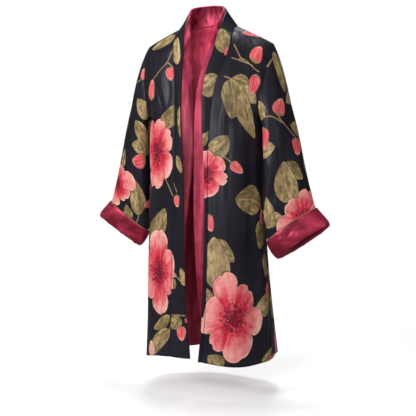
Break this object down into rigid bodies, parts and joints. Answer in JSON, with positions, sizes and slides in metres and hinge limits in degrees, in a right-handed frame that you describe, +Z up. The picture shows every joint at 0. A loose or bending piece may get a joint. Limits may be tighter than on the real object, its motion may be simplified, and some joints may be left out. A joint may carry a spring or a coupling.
{
  "type": "kimono",
  "caption": "Open-front kimono robe of printed satin, lined in plain satin, with a standing neck band, long hanging sleeves and turned-back cuffs, filled out as worn by nobody.",
  "frame": {"origin": "on the line of the wearer's shoulders, under the neck, where the wearer holds the robe up", "axes": "+Z up the wearer's back, +X to the wearer's left, -Y out of the open front"},
  "size_m": [0.7314, 0.3218, 1.0739],
  "materials": {
    "printed_satin": "satin",
    "crimson_satin": "satin"
  },
  "bodies": {
    "root": {"front_left": "printed_satin", "front_right": "printed_satin", "back_panel": "printed_satin", "sleeve_left": "printed_satin", "sleeve_right": "printed_satin", "neck_band": "printed_satin", "cuff_left": "crimson_satin", "cuff_right": "crimson_satin", "band_facing": "crimson_satin", "lining_back": "crimson_satin"}
  },
  "joints": []
}
